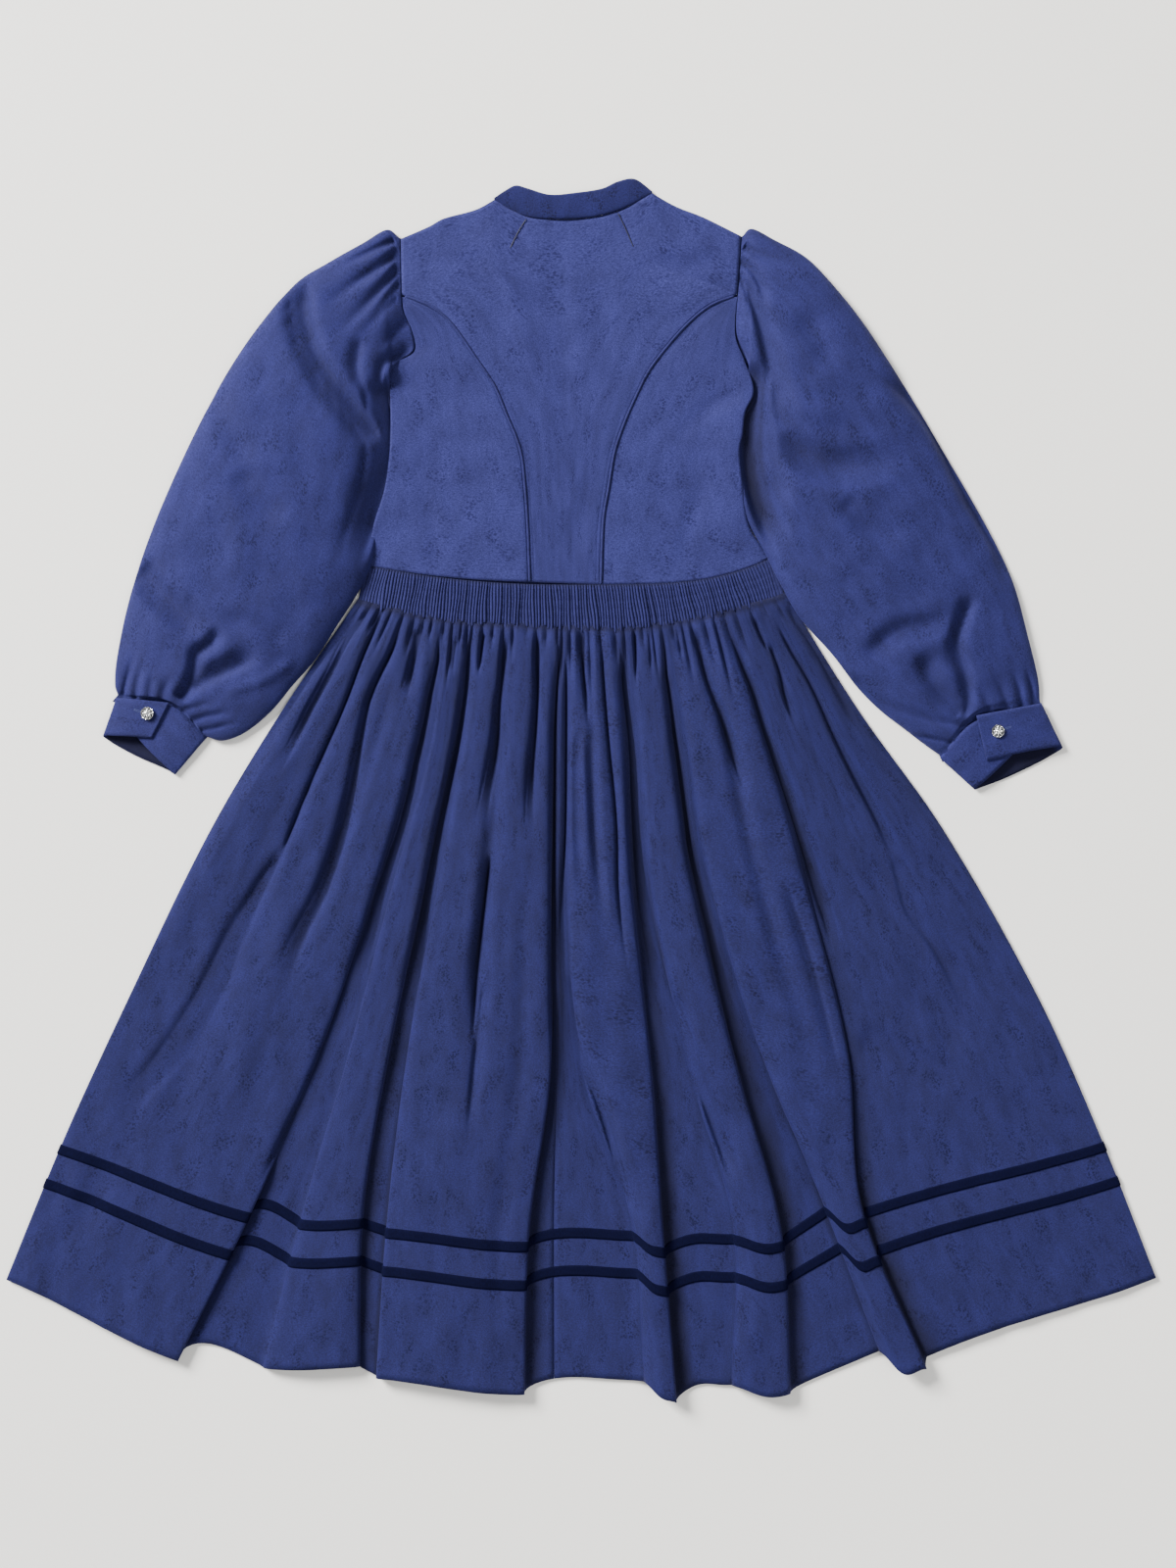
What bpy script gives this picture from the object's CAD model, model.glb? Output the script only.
import math

import bpy
import numpy as np
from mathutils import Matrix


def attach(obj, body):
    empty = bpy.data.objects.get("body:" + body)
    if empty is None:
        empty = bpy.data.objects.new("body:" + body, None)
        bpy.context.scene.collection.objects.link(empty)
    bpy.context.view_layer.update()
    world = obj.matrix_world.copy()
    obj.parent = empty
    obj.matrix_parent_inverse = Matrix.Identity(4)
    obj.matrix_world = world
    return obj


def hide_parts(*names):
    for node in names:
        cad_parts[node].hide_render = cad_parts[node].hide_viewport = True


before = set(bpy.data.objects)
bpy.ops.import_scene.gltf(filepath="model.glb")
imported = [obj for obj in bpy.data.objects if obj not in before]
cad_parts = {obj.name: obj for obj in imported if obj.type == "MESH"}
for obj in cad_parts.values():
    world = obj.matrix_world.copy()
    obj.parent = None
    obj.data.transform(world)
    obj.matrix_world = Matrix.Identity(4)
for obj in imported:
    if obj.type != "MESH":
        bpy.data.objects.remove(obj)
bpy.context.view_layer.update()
scene = bpy.context.scene
density = 1.0  # share of the full number of rows and columns

# The dirndl lies back up. It is set out in millimetres from the middle of the back waist seam,
# which lies here in the frame.
waistInFrame = np.array([-13.0016, 220.1271, 0.0])


def toFrame(points):
    return (np.asarray(points, float) + waistInFrame) / 1000


def many(count):
    return max(2, int(round(count * density)))


# ---- camera straight above, pale floor and large soft lights
view = {
    "middle": (0.00735, 0.00683),
    "distance": 3.0,
    "tall": 1.68,  # metres of floor from top to bottom of the picture
    "sensor": 24,
}
cameraData = bpy.data.cameras.new("camera")
cameraData.sensor_fit = "VERTICAL"
cameraData.sensor_height = view["sensor"]
cameraData.lens = view["sensor"] * view["distance"] / view["tall"]
camera = bpy.data.objects.new("camera", cameraData)
camera.location = (*view["middle"], view["distance"])
scene.collection.objects.link(camera)
scene.camera = camera

lights = {
    # name: place, size across and along, power, aimed at
    "window": ((-5.7, 4.4, 4.0), (2.9, 2.9), 2420, (0.0, 0.0, 0)),
    "ceiling": ((1.9, -1.0, 3.2), (2.6, 2.6), 70, (0.9, -0.5, 0)),
}
for name, (place, (across, along), power, aim) in lights.items():
    data = bpy.data.lights.new(name, "AREA")
    data.shape = "RECTANGLE"
    data.size = across
    data.size_y = along
    data.energy = power
    lamp = bpy.data.objects.new(name, data)
    lamp.location = place
    step = np.array(aim) - np.array(place)
    lamp.rotation_euler = (
        math.acos(-step[2] / np.linalg.norm(step)),
        0,
        math.atan2(step[1], step[0]) - math.pi / 2,
    )
    scene.collection.objects.link(lamp)


# ---- materials
def toLinear(code):
    parts = [int(code[i : i + 2], 16) / 255 for i in (1, 3, 5)]
    return (*[p / 12.92 if p < 0.04045 else ((p + 0.055) / 1.055) ** 2.4 for p in parts], 1)


def addNode(tree, kind, inputs=None, **settings):
    node = tree.nodes.new(kind)
    for key, value in settings.items():
        setattr(node, key, value)
    for key, value in (inputs or {}).items():
        if isinstance(value, bpy.types.NodeSocket):
            tree.links.new(value, node.inputs[key])
        else:
            node.inputs[key].default_value = value
    return node


def calc(tree, operation, *values):
    return addNode(tree, "ShaderNodeMath", dict(enumerate(values)), operation=operation).outputs[0]


def newMaterial(name):
    material = bpy.data.materials.new(name)
    material.use_nodes = True
    tree = material.node_tree
    tree.nodes.clear()
    surface = addNode(tree, "ShaderNodeBsdfPrincipled")
    addNode(tree, "ShaderNodeOutputMaterial", {"Surface": surface.outputs[0]})
    return material, tree, surface


def blendColour(tree, factor, a, b, how="MIX"):
    node = addNode(tree, "ShaderNodeMix", {0: factor, 6: a, 7: b}, data_type="RGBA", blend_type=how)
    return node.outputs[2]


def inMillimetres(tree):
    uv = addNode(tree, "ShaderNodeUVMap", uv_map="cut").outputs[0]
    scaled = addNode(tree, "ShaderNodeVectorMath", {0: uv, 3: 1000.0}, operation="SCALE")
    return scaled.outputs[0]


wool = {
    "light": "#353771",
    "dark": "#1b1b49",
    "figure": "#121238",
    "thread": 0.9,  # mm from one yarn to the next
    "repeat": 24.0,  # mm from spray to spray across
    "drift": 3.4,  # how much longer than wide each run of sprays is
    "closed": 0.78,  # how dark the bottom of a closed fold is
    "deepest": "#04040f",  # its colour there
}


def remap(tree, value, low, high, to=(0.0, 1.0)):
    # a value between two levels brought to a new range
    inputs = {0: value, 1: low, 2: high, 3: to[0], 4: to[1]}
    return addNode(tree, "ShaderNodeMapRange", inputs).outputs[0]


def noiseOf(tree, at, scale, detail=2.0, rough=0.5):
    inputs = {"Vector": at, "Scale": scale, "Detail": detail, "Roughness": rough}
    return addNode(tree, "ShaderNodeTexNoise", inputs).outputs[0]


def stretched(tree, at, factors):
    return addNode(tree, "ShaderNodeVectorMath", {0: at, 1: factors}, operation="MULTIPLY").outputs[0]


def dress(tree, surface, colour, values, height=None, strength=0.0, distance=0.0):
    # a material's colour, its constant values and, where it has one, its relief
    tree.links.new(colour, surface.inputs["Base Color"])
    for key, value in values.items():
        surface.inputs[key].default_value = value
    if height is not None:
        inputs = {"Height": height, "Strength": strength, "Distance": distance}
        raised = addNode(tree, "ShaderNodeBump", inputs)
        tree.links.new(raised.outputs[0], surface.inputs["Normal"])


def woolMaterial(name, light, dark, figure, depth=1.0, shown=0.7):
    # Piece-dyed worsted jacquard: two blues of yarn in a fine twill heather the surface, and
    # small sprays woven a shade darker drift lengthwise, dull where the ground has some sheen.
    material, tree, surface = newMaterial(name)
    place = inMillimetres(tree)
    cut = addNode(tree, "ShaderNodeSeparateXYZ", {0: place}).outputs

    def noise(scale, detail=2.0, rough=0.5, at=place):
        return noiseOf(tree, at, scale, detail, rough)

    fine = calc(tree, "MULTIPLY", noise(0.95, 2.0), 0.5)
    coarse = calc(tree, "MULTIPLY", noise(0.45, 3.0, 0.8), 0.5)
    fleck = calc(tree, "ADD", fine, coarse)
    lengthwise = stretched(tree, place, (1.0, 0.38, 1.0))
    cloud = noise(0.07, 3.0, 0.6, lengthwise)
    # sprays in half-drop columns, each a patch of small round petals round a swaying stem
    across = calc(tree, "DIVIDE", cut[0], wool["repeat"])
    drop = calc(tree, "MULTIPLY", calc(tree, "MODULO", calc(tree, "FLOOR", across), 2.0), 0.5)
    down = calc(tree, "ADD", calc(tree, "DIVIDE", cut[1], wool["repeat"] * wool["drift"]), drop)
    sway = remap(tree, noise(0.03, 1.0), 0.3, 0.7, (-0.42, 0.42))
    drift = remap(tree, noise(0.04, 1.0, 0.5, lengthwise), 0.3, 0.7, (-0.42, 0.42))
    offX = calc(tree, "ADD", calc(tree, "SUBTRACT", calc(tree, "FRACT", across), 0.5), sway)
    offY = calc(tree, "ADD", calc(tree, "SUBTRACT", calc(tree, "FRACT", down), 0.5), drift)
    squares = calc(tree, "ADD", calc(tree, "MULTIPLY", offX, offX), calc(tree, "MULTIPLY", offY, offY))
    away = calc(tree, "ADD", calc(tree, "SQRT", squares), calc(tree, "MULTIPLY", noise(0.22), 0.3))
    patch = remap(tree, away, 0.36, 0.6, (1.0, 0.0))
    cells = addNode(tree, "ShaderNodeTexVoronoi", {"Vector": place, "Scale": 0.39, "Randomness": 0.9})
    petals = remap(tree, cells.outputs["Distance"], 0.34, 0.52, (1.0, 0.0))
    worn = remap(tree, noise(0.05), 0.3, 0.6, (0.15, 1.0))
    woven = calc(tree, "MULTIPLY", calc(tree, "MULTIPLY", petals, patch), worn)
    diagonal = calc(tree, "ADD", cut[0], calc(tree, "MULTIPLY", cut[1], 1.2))
    twill = calc(tree, "SINE", calc(tree, "MULTIPLY", diagonal, 2 * math.pi / wool["thread"]))
    ground = blendColour(tree, remap(tree, fleck, 0.36, 0.64), toLinear(dark), toLinear(light))
    shade = remap(tree, cloud, 0.32, 0.68, (0.8, 1.12))
    shaded = addNode(tree, "ShaderNodeVectorMath", {0: ground, 3: shade}, operation="SCALE").outputs[0]
    colour = blendColour(tree, calc(tree, "MULTIPLY", woven, shown), shaded, toLinear(figure))
    # deep between two folds the cloth touches itself and hardly any light comes back
    hollow = addNode(tree, "ShaderNodeAttribute", attribute_name="hollow").outputs["Fac"]
    closed = calc(tree, "MULTIPLY", hollow, wool["closed"])
    colour = blendColour(tree, closed, colour, toLinear(wool["deepest"]))
    rough = calc(tree, "ADD", 0.8, calc(tree, "MULTIPLY", woven, 0.12))
    tree.links.new(rough, surface.inputs["Roughness"])
    height = calc(tree, "ADD", calc(tree, "MULTIPLY", twill, 0.3), fleck)
    dress(tree, surface, colour, {
        "Specular IOR Level": 0.2, "Sheen Weight": 0.16, "Sheen Roughness": 0.45,
        "Sheen Tint": toLinear("#7b7cd0"),
    }, height, 0.7 * depth, 0.0004)
    return material


def velvetMaterial():
    # Cotton velvet ribbon: a cut pile that swallows light face on and glows faintly at its edges,
    # with short brushed streaks across.
    material, tree, surface = newMaterial("velvet_cut_pile")
    place = inMillimetres(tree)
    pile = noiseOf(tree, stretched(tree, place, (0.9, 0.25, 1.0)), 1.0, 3.0)
    colour = blendColour(tree, pile, toLinear("#03030f"), toLinear("#0b0d2c"))
    dress(tree, surface, colour, {
        "Roughness": 0.95, "Specular IOR Level": 0.05, "Sheen Weight": 0.25,
        "Sheen Roughness": 0.3, "Sheen Tint": toLinear("#39418f"),
    }, pile, 0.6, 0.0006)
    return material


def silverMaterial():
    # Die-struck white metal: bright facets, dark tarnish left in the hollows.
    material, tree, surface = newMaterial("silver_struck")
    place = addNode(tree, "ShaderNodeTexCoord").outputs["Object"]
    grime = noiseOf(tree, place, 900.0, 3.0)
    sunk = addNode(tree, "ShaderNodeAttribute", attribute_name="hollow").outputs["Fac"]
    bright = calc(tree, "SUBTRACT", 1.0, calc(tree, "MULTIPLY", sunk, 0.9))
    worn = calc(tree, "MULTIPLY", bright, remap(tree, grime, 0.3, 0.6, (0.75, 1.0)))
    colour = blendColour(tree, worn, toLinear("#23262e"), toLinear("#f6f6f4"))
    dress(tree, surface, colour, {"Metallic": 1.0, "Roughness": 0.22})
    return material


def threadMaterial(name, code, shadow="#20264f"):
    # Mercerised sewing thread, a shade off the cloth, with a two-ply twist along it.
    material, tree, surface = newMaterial(name)
    place = addNode(tree, "ShaderNodeTexCoord").outputs["Object"]
    inputs = {"Vector": place, "Scale": 420.0, "Distortion": 1.0}
    ply = addNode(tree, "ShaderNodeTexWave", inputs, bands_direction="DIAGONAL").outputs[1]
    colour = blendColour(tree, calc(tree, "MULTIPLY", ply, 0.5), toLinear(code), toLinear(shadow))
    dress(tree, surface, colour, {"Roughness": 0.55}, ply, 0.3, 0.0001)
    return material


def floorMaterial():
    # Matt painted board, off-white, a little cloudy.
    material, tree, surface = newMaterial("board_matt_paint")
    place = addNode(tree, "ShaderNodeTexCoord").outputs["Object"]
    colour = blendColour(tree, noiseOf(tree, place, 1.6, 3.0), toLinear("#f8f5ee"), toLinear("#fcfaf5"))
    dress(tree, surface, colour, {"Roughness": 0.7, "Specular IOR Level": 0.2})
    return material


clothMaterial = woolMaterial("wool_jacquard", wool["light"], wool["dark"], wool["figure"])
# the skirt is cut with its nap the other way and looks a shade deeper
skirtMaterial = woolMaterial("wool_jacquard_skirt", "#1f2157", "#0f1037", "#090923", shown=0.75)
sleeveMaterial = woolMaterial("wool_jacquard_sleeve", "#292b64", "#15153f", "#0d0e2a", shown=0.6)
gaugingMaterial = woolMaterial("wool_gauged", "#292a5f", "#161740", "#101034", 0.7)
velvet = velvetMaterial()
silver = silverMaterial()
threadDark = threadMaterial("thread_navy", "#2d3566")
threadSeam = threadMaterial("thread_seam", "#090a1f", "#0d0f29")

world = bpy.data.worlds.new("room")
world.use_nodes = True
world.node_tree.nodes["Background"].inputs[0].default_value = toLinear("#eef0f4")
world.node_tree.nodes["Background"].inputs[1].default_value = 0.47
scene.world = world

floorMesh = bpy.data.meshes.new("floor")
floorMesh.from_pydata([(-4, -4, 0), (4, -4, 0), (4, 4, 0), (-4, 4, 0)], [], [(0, 1, 2, 3)])
floor = bpy.data.objects.new("floor", floorMesh)
floor.location.z = -0.0004
floorMesh.materials.append(floorMaterial())
scene.collection.objects.link(floor)
print("camera, light, floor and materials")


# ---- numbers along lines
def mix(a, b, t):
    return a + (b - a) * t


def ease(start, end, t):
    s = np.clip((np.asarray(t, float) - start) / (end - start), 0, 1)
    return s * s * (3 - 2 * s)


def uneven(n):
    s = np.sin(np.asarray(n, float) * 12.9898 + 4.1) * 43758.5453
    return 2 * (s - np.floor(s)) - 1


def bump(t, at, half):
    d = np.clip(np.abs(t - at) / half, 0, 1)
    return 0.5 + 0.5 * np.cos(np.pi * d)


def smoothLine(points):
    # a curve through points, followed by its own length from 0 to 1
    p = np.array(points, float)
    p = np.vstack([2 * p[0] - p[1], p, 2 * p[-1] - p[-2]])
    parts = []
    for i in range(1, len(p) - 2):
        a, b, c, d = p[i - 1 : i + 3]
        k = [max(np.linalg.norm(f - e), 1e-3) ** 0.5 for e, f in ((a, b), (b, c), (c, d))]
        m1 = ((b - a) / k[0] - (c - a) / (k[0] + k[1]) + (c - b) / k[1]) * k[1]
        m2 = ((c - b) / k[1] - (d - b) / (k[1] + k[2]) + (d - c) / k[2]) * k[1]
        t = np.linspace(0, 1, 24, endpoint=i == len(p) - 3)[:, None]
        parts.append(
            (2 * t**3 - 3 * t**2 + 1) * b + (t**3 - 2 * t**2 + t) * m1
            + (3 * t**2 - 2 * t**3) * c + (t**3 - t**2) * m2
        )
    dense = np.vstack(parts)
    run = np.r_[0, np.cumsum(np.linalg.norm(np.diff(dense, axis=0), axis=1))]
    run /= run[-1]

    def at(t):
        t = np.clip(np.atleast_1d(t), 0, 1)
        return np.stack([np.interp(t, run, column) for column in dense.T], -1)

    return at


def beside(line, distance):
    # the line moved to its right as it is followed
    def at(t):
        t = np.atleast_1d(t)
        step = line(np.minimum(t + 0.004, 1)) - line(np.maximum(t - 0.004, 0))
        step /= np.linalg.norm(step, axis=1)[:, None]
        return line(t) + np.stack([step[:, 1], -step[:, 0]], 1) * distance

    return at


def throughLevels(levels, values, v):
    # a smooth value through levels
    at, x = np.array(levels, float), np.array(values, float)
    last = len(at) - 1
    low, high = np.maximum(np.arange(last + 1) - 1, 0), np.minimum(np.arange(last + 1) + 1, last)
    slope = (x[high] - x[low]) / (at[high] - at[low])
    i = np.clip(np.searchsorted(at, v) - 1, 0, last - 1)
    t = at[i + 1] - at[i]
    s = (v - at[i]) / t
    return (
        (2 * s**3 - 3 * s**2 + 1) * x[i] + (s**3 - 2 * s**2 + s) * t * slope[i]
        + (3 * s**2 - 2 * s**3) * x[i + 1] + (s**3 - s**2) * t * slope[i + 1]
    )


def softened(grid, over, axis=1, ring=False):
    # each point drawn towards its neighbours along one axis, over about so many points
    reach = int(math.ceil(3 * over))
    weights = np.exp(-0.5 * (np.arange(-reach, reach + 1) / over) ** 2)
    weights /= weights.sum()
    pad = [(0, 0)] * grid.ndim
    pad[axis] = (reach, reach)
    if ring:
        wide = np.pad(grid, pad, mode="wrap")
    else:
        wide = np.pad(grid, pad, mode="reflect", reflect_type="odd")
    count = grid.shape[axis]
    out = np.zeros_like(grid)
    for k, weight in enumerate(weights):
        out += weight * np.take(wide, np.arange(k, k + count), axis=axis)
    return out


def rippled(xy, length, seed):
    # gentle irregular waves of about this length, from -1 to 1
    waves = np.random.default_rng(seed)
    total = 0
    for _ in range(7):
        turn = waves.uniform(0, math.pi)
        size = length * waves.uniform(0.7, 1.5)
        along = xy[..., 0] * math.cos(turn) + xy[..., 1] * math.sin(turn)
        total = total + np.sin(along * 2 * math.pi / size + waves.uniform(0, 6.28))
    return total / 3.5


rounding = {
    "from": 3,  # creases deeper than this have a rounded rim
    "rim": 12,  # mm over which the cloth rounds down into them
    "share": 0.6,  # share of their depth that this takes
}


def crease(path, depth, left, right=None, start=0.12, end=0.35):
    # A path with its depth (below 0 for a ridge), its width to the left and right of the path as
    # it is followed, and the share of its length over which it starts and ends. A narrow side is
    # a steep wall, a wide one a soft slope.
    right = left if right is None else right
    return {"path": path, "depth": depth, "left": left, "right": right, "start": start, "end": end}


def creased(xy, creases):
    # how far cloth sinks at plan points
    flat = xy.reshape(-1, 2)
    sunk = np.zeros(len(flat))
    shares = np.linspace(0, 1, 24)
    for fold in creases:
        left, right = (
            np.interp(shares, np.linspace(0, 1, np.size(fold[way])), np.ravel(fold[way]))
            for way in ("left", "right")
        )
        rim = rounding["rim"] if fold["depth"] > rounding["from"] else 0
        widest = max(left.max(), right.max()) + rim
        line = smoothLine(fold["path"])(shares)
        near = np.all((flat > line.min(0) - widest) & (flat < line.max(0) + widest), axis=1)
        points = flat[near]
        best = np.full(len(points), 1e9)
        share = np.zeros(len(points))
        side = np.zeros(len(points))
        for k, (a, b) in enumerate(zip(line[:-1], line[1:])):
            step = b - a
            t = np.clip((points - a) @ step / (step @ step), 0, 1)
            off = points - a - t[:, None] * step
            far = np.hypot(off[:, 0], off[:, 1])
            closer = far < best
            best[closer] = far[closer]
            share[closer] = ((k + t) / (len(line) - 1))[closer]
            side[closer] = (step[0] * off[:, 1] - step[1] * off[:, 0])[closer]
        width = np.where(side > 0, np.interp(share, shares, left), np.interp(share, shares, right))
        q = np.clip(best / width, 0, 1)
        soft = 0.5 + 0.5 * np.cos(np.pi * q)
        form = mix((1 - q**2.2), soft, ease(4, 9, width))
        if rim:
            inwards = 1 - np.clip((best - 0.6 * width) / rim, 0, 1)
            form = np.maximum(form, rounding["share"] * (1 - np.sqrt(1 - inwards**2)))
        ends = ease(0, fold["start"], share) * (1 - ease(1 - fold["end"], 1.02, share))
        value = fold["depth"] * form * ends
        old = sunk[near]
        sunk[near] = np.where(value > 0, np.maximum(old, value), old + value)
    return sunk.reshape(xy.shape[:-1])


# ---- meshes
sheets = {}


def makePiece(name, mesh, material, node=None):
    mesh.materials.append(material)
    piece = bpy.data.objects.new(name, mesh)
    scene.collection.objects.link(piece)
    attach(piece, "root")
    if node:
        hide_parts(node)
    return piece


def setValues(mesh, name, values):
    mesh.attributes.new(name, "FLOAT", "POINT").data.foreach_set("value", np.ravel(values))


def clothMesh(node, grid, wall, material, cut, ring=False, up=True, offset=0.0,
              hollow=None, kind="cloth"):
    # grid holds the cloth's points in millimetres, cut the same points in the flat cloth
    name = node + "_" + kind
    rows, cols = grid.shape[:2]
    index = np.arange(rows * cols).reshape(rows, cols)
    nextOne = np.roll(index, -1, axis=1) if ring else index[:, 1:]
    thisOne = index if ring else index[:, :-1]
    faces = np.stack([thisOne[:-1], thisOne[1:], nextOne[1:], nextOne[:-1]], -1).reshape(-1, 4)
    a, b = cut[:, : cols if ring else cols - 1], cut[:, 1:]
    corners = np.stack([a[:-1], a[1:], b[1:], b[:-1]], 2).reshape(-1, 4, 2)
    if not up:
        faces, corners = faces[:, ::-1], corners[:, ::-1]
    mesh = bpy.data.meshes.new(name)
    mesh.from_pydata(toFrame(grid.reshape(-1, 3)).tolist(), [], faces.tolist())
    layer = mesh.uv_layers.new(name="cut")
    layer.data.foreach_set("uv", (corners / 1000).ravel())
    mesh.polygons.foreach_set("use_smooth", [True] * len(faces))
    if hollow is not None:
        setValues(mesh, "hollow", hollow)
    sheets[node] = makePiece(name, mesh, material, node)
    shell = sheets[node].modifiers.new("cloth", "SOLIDIFY")
    shell.thickness = wall / 1000
    shell.offset = offset
    shell.use_rim = True


def ringMesh(name, points, capped=True):
    # a mesh through rings of points, closed at its first ring and, if capped, at its last
    rows, cols = points.shape[:2]
    index = np.arange(rows * cols).reshape(rows, cols)
    after = np.roll(index, -1, axis=1)
    faces = np.stack([index[:-1], after[:-1], after[1:], index[1:]], -1).reshape(-1, 4).tolist()
    faces.append(index[0, ::-1].tolist())
    if capped:
        faces.append(index[-1].tolist())
    mesh = bpy.data.meshes.new(name)
    mesh.from_pydata(toFrame(points.reshape(-1, 3)).tolist(), [], faces)
    return mesh


def cutAlong(grid):
    # the place of each point in the flat cloth: along its row, and down its middle column
    across = np.linalg.norm(np.diff(grid, axis=1), axis=2).mean(0)
    middle = grid[:, grid.shape[1] // 2]
    down = np.linalg.norm(np.diff(middle, axis=0), axis=1)
    u = np.r_[0, np.cumsum(across)]
    v = np.r_[0, np.cumsum(down)]
    return laidOut(u[None, :], v[:, None])


def laidOut(across, down):
    return np.stack(np.broadcast_arrays(across, down), -1)


def lifted(grid, distance):
    # points moved off the upper side of a grid whose rows run down and columns to the right
    across = np.gradient(grid, axis=1)
    down = np.gradient(grid, axis=0)
    normal = np.cross(down, across)
    normal /= np.maximum(np.linalg.norm(normal, axis=2), 1e-9)[..., None]
    return grid + normal * distance


def hollows(grid, reachLeft=24, reachRight=7, start=1.5, full=10):
    # 0 to 1 for how far each point lies below the crests beside it, mostly those on its left
    x, z = grid[..., 0], grid[..., 2]
    below = np.zeros_like(z)
    for way, reach in ((1, reachLeft), (-1, reachRight)):
        for k in range(1, 34):
            away = np.abs(np.roll(x, way * k, axis=1) - x)
            higher = (np.roll(z, way * k, axis=1) - z) * (1 - np.clip(away / reach, 0, 1) ** 2)
            if way > 0:
                higher[:, :k] = 0
            else:
                higher[:, -k:] = 0
            below = np.maximum(below, higher)
    return np.clip((below - start) / (full - start), 0, 1)


def tube(name, path, radius, material, sides=10, node=None, twist=0.0):
    # a cord along points, with a twisted lay
    step = np.gradient(path, axis=0)
    step /= np.linalg.norm(step, axis=1)[:, None]
    sideways = np.cross(step, (0, 0, 1))
    sideways /= np.linalg.norm(sideways, axis=1)[:, None]
    upward = np.cross(sideways, step)
    run = np.r_[0, np.cumsum(np.linalg.norm(np.diff(path, axis=0), axis=1))]
    turn = np.linspace(0, 2 * np.pi, sides, endpoint=False)[None, :]
    size = radius * (1 + twist * np.cos(2 * turn + run[:, None] * 1.9))
    size[0], size[-1] = radius * 0.3, radius * 0.3
    ringPoints = (
        path[:, None] + size[..., None] * (
            np.cos(turn)[..., None] * sideways[:, None] + np.sin(turn)[..., None] * upward[:, None]
        )
    )
    mesh = ringMesh(name, ringPoints)
    layer = mesh.uv_layers.new(name="cut")
    at = np.array([loop.vertex_index for loop in mesh.loops])
    values = np.stack([run[at // sides], (at % sides) * radius * 0.6], -1) / 1000
    layer.data.foreach_set("uv", values.ravel())
    mesh.polygons.foreach_set("use_smooth", [True] * len(mesh.polygons))
    makePiece(name, mesh, material, node)


# ---- bodice lines
bodice = {
    "wall": 1.1,
    "level": 1.5,  # the back layer lies on the front layer
    "crown": 2.9,
    "halfBack": 235,
    "waistDip": -0.5,
}
sideLeft = [(-216, 20.5), (-210, 62), (-198, 102), (-192, 146), (-192, 204), (-194, 230)]
sideRight = [(215, 28.5), (193, 63), (186, 107), (183, 146), (186, 160), (189, 184), (198, 206)]
armholeLeft = [
    (-194, 230), (-184, 238), (-165, 250), (-168, 272), (-177, 293), (-178.5, 310), (-180, 370),
]
armholeRight = [(198, 206), (189, 237), (178.5, 264), (178, 287), (180, 310), (184, 373)]
princessLeft = smoothLine([
    (-42, 3), (-44, 58), (-47, 102), (-52, 143), (-69, 187), (-80, 213), (-98, 240), (-130, 284),
    (-151, 299), (-179, 310),
])
princessRight = smoothLine([
    (34, 0), (37, 72), (42, 102), (49, 143), (60, 175), (70, 198), (85, 228), (102, 251),
    (129, 281), (152, 299), (180, 310),
])
shoulderPointsLeft = [(-180, 370), (-148, 384), (-136, 391), (-98, 402), (-80, 412)]
shoulderPointsRight = [(89, 419), (114, 405), (144, 393), (184, 373)]
shoulderLeft, shoulderRight = smoothLine(shoulderPointsLeft), smoothLine(shoulderPointsRight)
neckLine = smoothLine([
    (-80, 412), (-63, 402), (-45, 394), (-19, 391), (25, 393), (49, 399), (70, 408), (89, 419),
])
collarTop = smoothLine([
    (-80, 413.5), (-69, 421), (-57, 427), (-45, 424), (-21, 417), (8, 419), (37, 424), (52, 431),
    (70, 434), (89, 420.5),
])
frontNeck = smoothLine([(-79, 406), (-55, 375), (-27, 357), (4, 352), (36, 359), (64, 380), (87, 412)])


def waistY(x):
    x = np.asarray(x, float)
    left = 21 * (np.abs(x) / 216) ** 2.2
    right = 29 * (np.abs(x) / 215) ** 4
    return bodice["waistDip"] + np.where(x < 0, left, right)


def backLevel(x, y):
    # underside of the back layer
    fall = 1 - np.minimum(1, np.abs(x) / bodice["halfBack"]) ** 4
    return bodice["level"] + bodice["crown"] * fall * (1 - 0.8 * ease(330, 415, y))


def panelPlan(foot, head, left, right, cols, rows, headBend=1):
    u, v = np.linspace(0, 1, cols + 1), np.linspace(0, 1, rows + 1)
    f, h, l, r = foot(u), head(u), left(v), right(v)
    across = l[:, None] * (1 - u)[None, :, None] + r[:, None] * u[None, :, None]
    footBow = f - (f[0] * (1 - u)[:, None] + f[-1] * u[:, None])
    headBow = h - (h[0] * (1 - u)[:, None] + h[-1] * u[:, None])
    low, high = (1 - v)[:, None, None], (v**headBend)[:, None, None]
    return across + footBow[None] * low + headBow[None] * high


def straight(a, b):
    a, b = np.ravel(a), np.ravel(b)
    return lambda t: a + (b - a) * np.atleast_1d(t)[:, None]


def waistBetween(x0, x1):
    def at(u):
        x = mix(x0, x1, np.atleast_1d(u))
        return np.stack([x, waistY(x) - 0.3], -1)

    return at


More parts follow.
